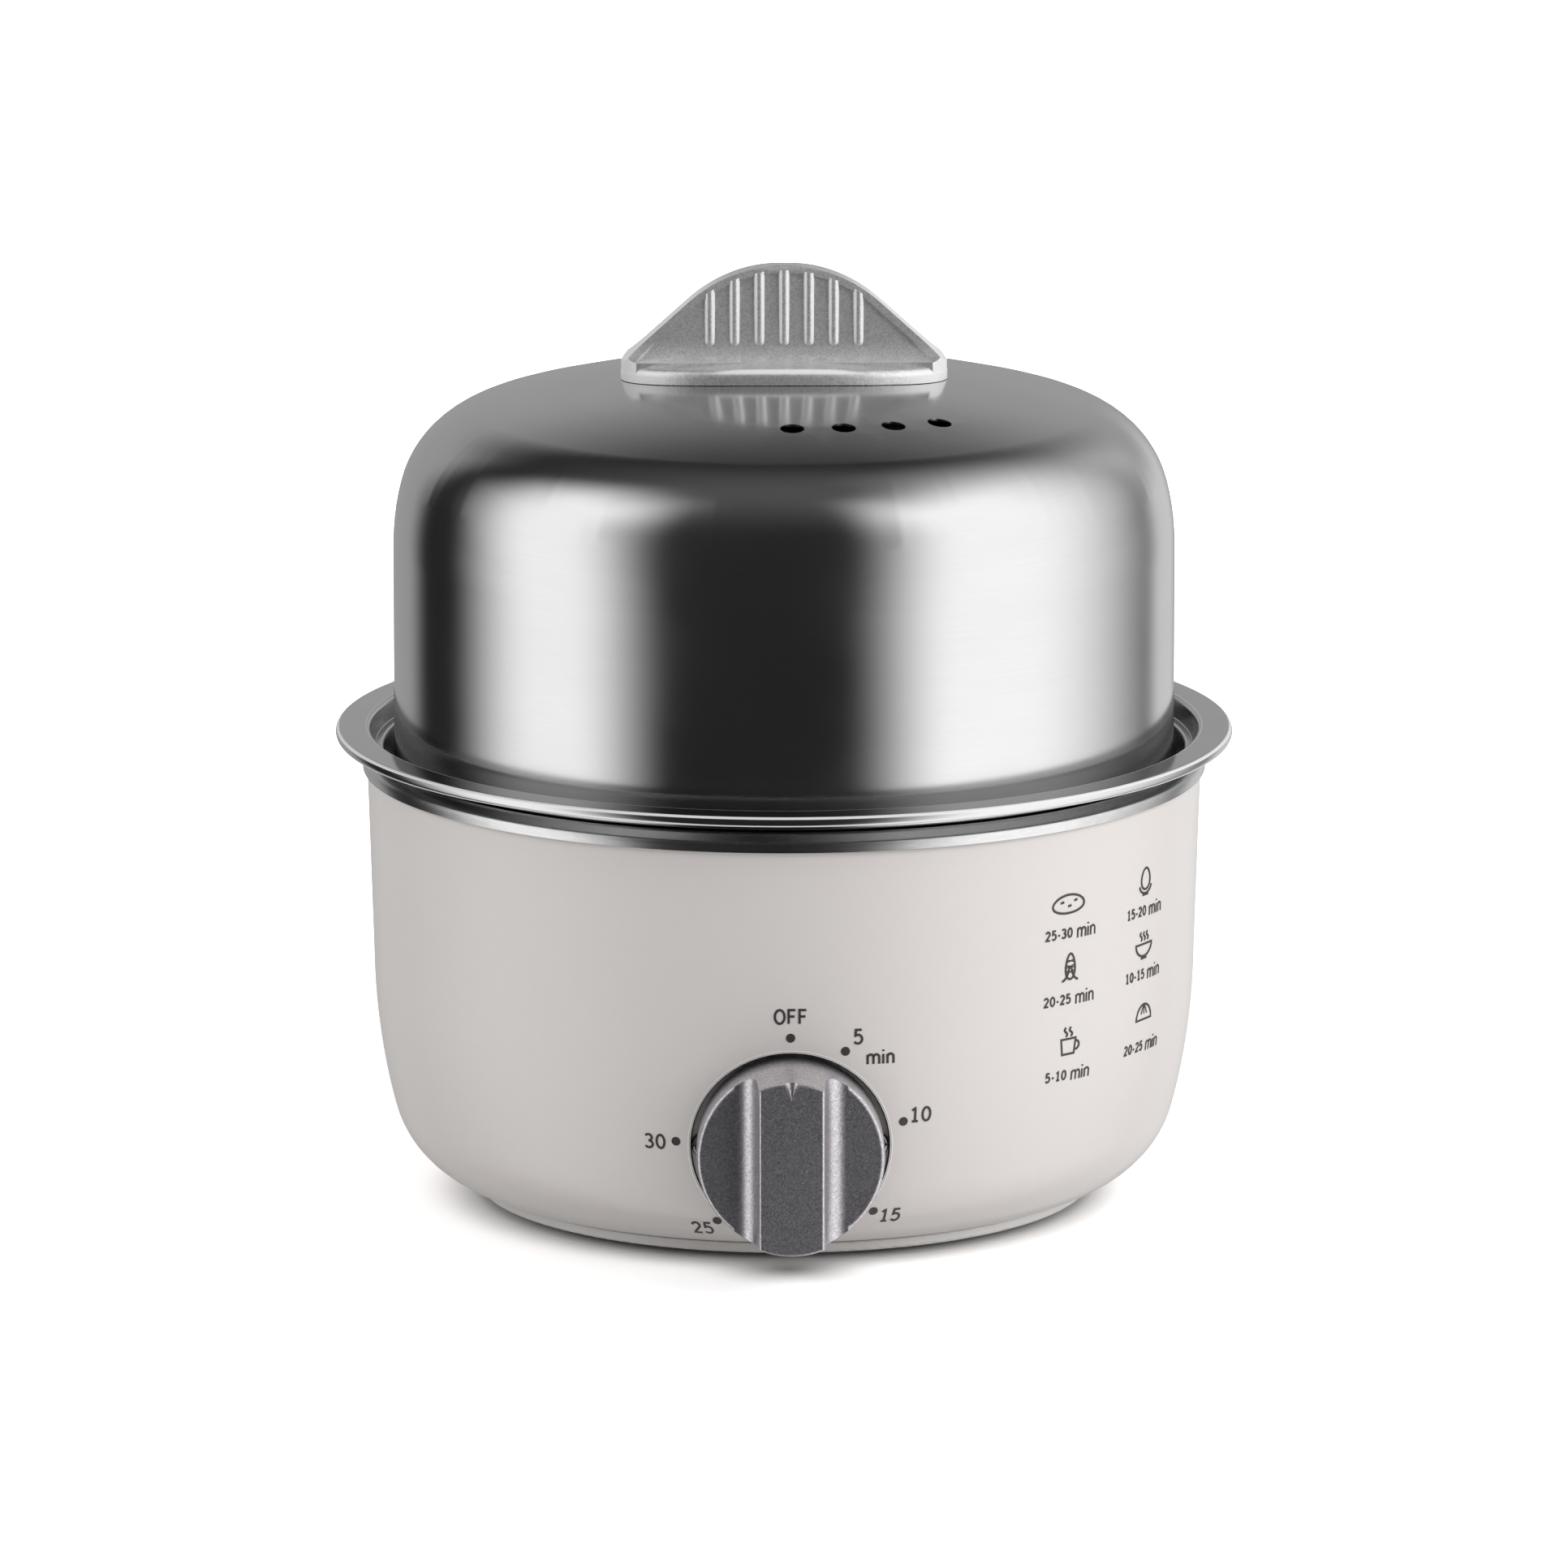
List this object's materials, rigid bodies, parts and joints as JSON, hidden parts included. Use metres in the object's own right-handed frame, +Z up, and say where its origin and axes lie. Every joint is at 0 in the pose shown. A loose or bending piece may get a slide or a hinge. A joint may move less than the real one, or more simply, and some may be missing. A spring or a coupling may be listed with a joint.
{
  "type": "egg boiler",
  "caption": "Electric egg boiler: plastic base with a water basin and dial timer, flanged egg tray, steaming bowl and domed steel lid with a handle.",
  "frame": {"origin": "on the upright axis of the basin and the lid, at the height of the surface that the feet stand on", "axes": "+Z up along the basin's axis, -Y towards the dial at the front, +X to the right seen from the front"},
  "size_m": [0.1886, 0.1983, 0.1981],
  "materials": {
    "housing_plastic": "gloss moulded",
    "cover_plastic": "moulded",
    "knob_plastic": "moulded, dark grey with a fine metallic speckle",
    "handle_plastic": "moulded, silver with a fine sparkle",
    "stainless_sheet": "polished",
    "plated_steel": "zinc plated",
    "cast_alloy": "as cast",
    "element_sheath": "annealed dark",
    "brass": "plain",
    "dark_moulding": "moulded",
    "ceramic": "unglazed ceramic",
    "wire_insulation": "silicone sleeve",
    "rubber": "plain"
  },
  "bodies": {
    "base": {"bottom_cover": "cover_plastic", "bottom_cover_screws": "plated_steel", "cord_gland": "dark_moulding", "element_pins": "brass", "element_wires": "wire_insulation", "foot_1": "rubber", "foot_2": "rubber", "foot_3": "rubber", "foot_4": "rubber", "fuse_clip": "plated_steel", "gland_nut": "dark_moulding", "heater_plate": "cast_alloy", "heating_basin": "stainless_sheet", "heating_element": "element_sheath", "housing": "housing_plastic", "live_wire": "wire_insulation", "pan_bracket_1": "plated_steel", "pan_bracket_2": "plated_steel", "pan_bracket_3": "plated_steel", "pan_bracket_4": "plated_steel", "pan_bracket_screws": "plated_steel", "reflector_nuts": "plated_steel", "reflector_plate": "plated_steel", "reflector_studs": "plated_steel", "supply_wires": "wire_insulation", "switched_wire": "wire_insulation", "terminal_block": "ceramic", "terminal_screws": "plated_steel", "thermal_fuse": "cast_alloy", "thermostat_body": "dark_moulding", "thermostat_cap": "cast_alloy", "thermostat_screws": "plated_steel", "thermostat_tabs": "brass", "timer_case": "plated_steel", "timer_contact_blades": "brass", "timer_contact_block": "dark_moulding", "timer_front_plate": "plated_steel", "timer_screws": "plated_steel", "timer_spring_barrel": "plated_steel", "timer_tabs": "brass"},
    "timer_drive": {"knob": "knob_plastic", "knob_clip": "plated_steel", "timer_shaft": "plated_steel", "timer_cam": "dark_moulding", "timer_main_wheel": "brass"},
    "escape": {"timer_escape_arbor": "brass"},
    "tray": {"egg_tray": "stainless_sheet"},
    "bowl": {"steaming_bowl": "stainless_sheet"},
    "lid": {"lid_dome": "stainless_sheet", "lid_handle": "handle_plastic", "handle_gasket": "rubber", "handle_washers": "plated_steel", "handle_screws": "plated_steel"}
  },
  "joints": [
    {"name": "knob_turn", "type": "hinge", "parent": "base", "child": "timer_drive", "pos_m": [0, -0.0795, 0.0284], "axis": [0, 1, 0], "range_deg": [0, 275]},
    {"name": "escape_turn", "type": "hinge", "parent": "base", "child": "escape", "pos_m": [-0.00764, -0.0625, 0.02076], "axis": [0, 1, 0], "range_deg": [-1375, 0]},
    {"name": "tray_lift", "type": "slide", "parent": "base", "child": "tray", "axis": [0, 0, 1], "range_m": [0, 0.08]},
    {"name": "bowl_lift", "type": "slide", "parent": "tray", "child": "bowl", "axis": [0, 0, 1], "range_m": [0, 0.07]},
    {"name": "lid_lift", "type": "slide", "parent": "bowl", "child": "lid", "axis": [0, 0, 1], "range_m": [0, 0.12]}
  ],
  "couplings": [
    {"joint": "escape_turn", "follows": "knob_turn", "ratio": -5}
  ]
}
